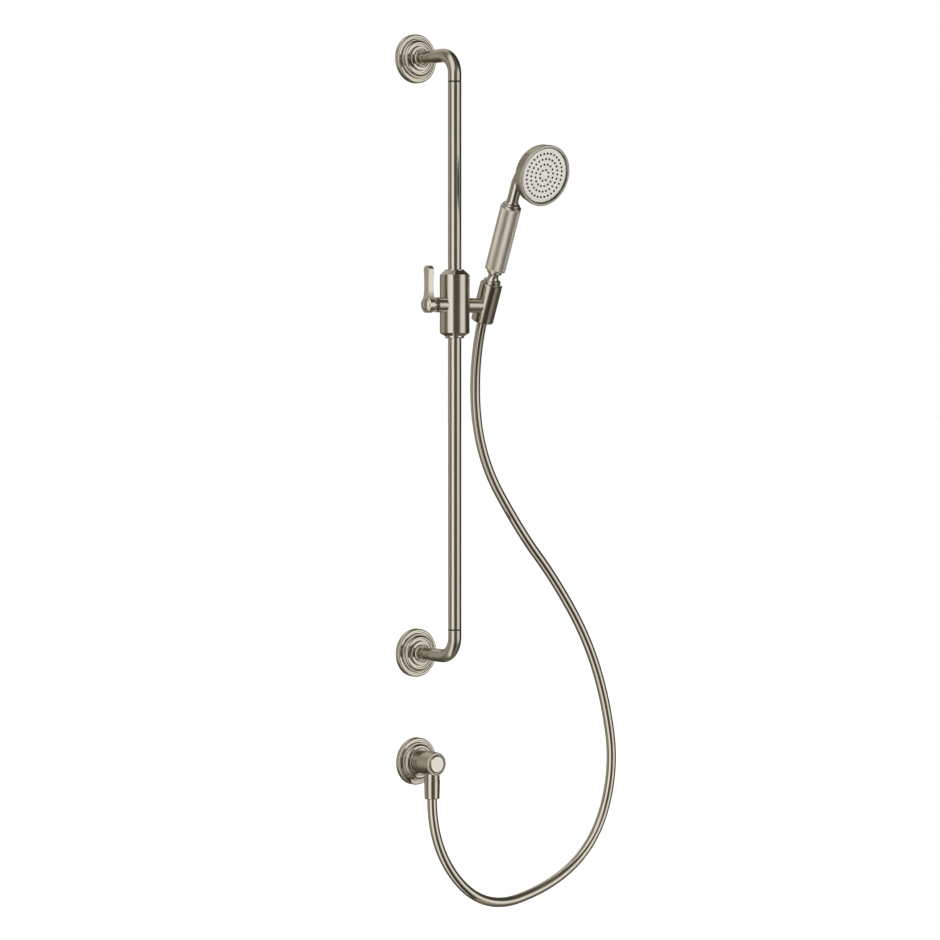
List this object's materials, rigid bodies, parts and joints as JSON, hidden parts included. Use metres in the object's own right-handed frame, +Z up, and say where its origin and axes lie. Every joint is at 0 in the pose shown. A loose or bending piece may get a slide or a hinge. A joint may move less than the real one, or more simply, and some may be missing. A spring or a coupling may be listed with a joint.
{
  "type": "slide rail shower set with handset",
  "caption": "Wall slide rail with a sliding, swivelling and tilting handset holder, round-headed handset, hose and round wall outlet.",
  "frame": {"origin": "centre of the lower wall bracket, on the wall", "axes": "+Y into the wall, +Z up along the rail, +X to the right of someone facing the wall; the set stands out towards -Y"},
  "size_m": [0.4065, 0.2489, 1.3335],
  "materials": {
    "brushed_nickel": "satin brushed nickel plating",
    "polished_nickel": "polished nickel plating",
    "hose_cover": "smooth metal-effect cover over a plastic tube",
    "brass": "turned, unplated",
    "plain_steel": "zinc plated",
    "black_rubber": "matt",
    "pale_plastic": "moulded acetal",
    "spray_face": "pale grey, fine satin",
    "nozzle_silicone": "dark silicone"
  },
  "bodies": {
    "wall_rail": {"lower_wall_plate": "plain_steel", "upper_wall_plate": "plain_steel", "lower_flange": "brushed_nickel", "upper_flange": "brushed_nickel", "lower_elbow": "brushed_nickel", "upper_elbow": "brushed_nickel", "bracket_grub_screws": "plain_steel", "lower_joint_ring": "black_rubber", "upper_joint_ring": "black_rubber", "lower_joint_plug": "brass", "upper_joint_plug": "brass", "slide_bar": "brushed_nickel", "outlet_flange": "brushed_nickel", "outlet_flange_seal": "black_rubber", "outlet_body": "brushed_nickel", "outlet_cap": "polished_nickel", "outlet_cap_ring": "polished_nickel", "check_valve_cage": "pale_plastic", "check_valve_spring": "plain_steel", "hose_nut_lower": "brushed_nickel", "hose_washer_lower": "black_rubber", "hose_ferrule_lower": "brass", "shower_hose": "hose_cover"},
    "valve": {"check_valve_poppet": "pale_plastic"},
    "liner": {"guide_liner": "pale_plastic"},
    "carriage": {"slider_body": "brushed_nickel", "slider_upper_bush": "polished_nickel", "slider_lower_bush": "polished_nickel", "clamp_boss": "brushed_nickel", "pivot_grub_screw": "plain_steel", "pivot_friction_washer": "pale_plastic"},
    "lever": {"clamp_screw": "polished_nickel", "clamp_lever": "brushed_nickel", "lever_fixing_screw": "plain_steel", "lever_cap": "polished_nickel"},
    "brake": {"brake_pad": "pale_plastic"},
    "holder": {"pivot_stub": "brushed_nickel", "handset_holder": "brushed_nickel", "holder_insert": "pale_plastic"},
    "hose_end": {"hose_ferrule_upper": "brass"},
    "handset": {"hose_nut_upper": "brushed_nickel", "filter_washer": "black_rubber", "handset_connector": "polished_nickel", "flow_restrictor": "pale_plastic", "grip_core_tube": "brass", "grip_lower_spacer": "pale_plastic", "grip_sleeve": "brushed_nickel", "grip_top_collar": "polished_nickel", "neck_washer": "black_rubber", "swan_neck": "brushed_nickel", "head_shell": "brushed_nickel", "diffuser_plate": "pale_plastic", "head_seal": "black_rubber", "nozzle_mat": "nozzle_silicone", "spray_plate": "spray_face", "head_rim": "polished_nickel"}
  },
  "joints": [
    {"name": "slider_travel", "type": "slide", "parent": "wall_rail", "child": "liner", "axis": [0, 0, 1], "range_m": [-0.43, 0.275], "deforming": ["shower_hose"]},
    {"name": "slider_swivel", "type": "hinge", "parent": "liner", "child": "carriage", "pos_m": [0, -0.098, 0.5265], "axis": [0, 0, 1], "range_deg": [-60, 60], "deforming": ["shower_hose"]},
    {"name": "clamp_lever_turn", "type": "hinge", "parent": "carriage", "child": "lever", "pos_m": [0, -0.098, 0.5265], "axis": [1, 0, 0], "range_deg": [0, 90]},
    {"name": "brake_release", "type": "slide", "parent": "carriage", "child": "brake", "axis": [-1, 0, 0], "range_m": [0, 0.0004]},
    {"name": "holder_tilt", "type": "hinge", "parent": "carriage", "child": "holder", "pos_m": [0.06, -0.098, 0.5265], "axis": [1, 0, 0], "range_deg": [-10, 25], "deforming": ["shower_hose"]},
    {"name": "handset_lift", "type": "slide", "parent": "holder", "child": "hose_end", "axis": [0, -0.3762, 0.9265], "range_m": [0, 0.11], "deforming": ["shower_hose"]},
    {"name": "handset_spin", "type": "hinge", "parent": "hose_end", "child": "handset", "pos_m": [0.06, -0.098, 0.5265], "axis": [0, -0.3762, 0.9265], "range_deg": [-60, 60]},
    {"name": "check_valve_open", "type": "slide", "parent": "wall_rail", "child": "valve", "axis": [0, 0, -1], "range_m": [0, 0.003], "stiffness_N_per_m": 150, "springref_m": -0.004, "deforming": ["check_valve_spring"]}
  ],
  "couplings": [
    {"joint": "brake_release", "follows": "clamp_lever_turn", "m_per_rad": 0.000239}
  ]
}
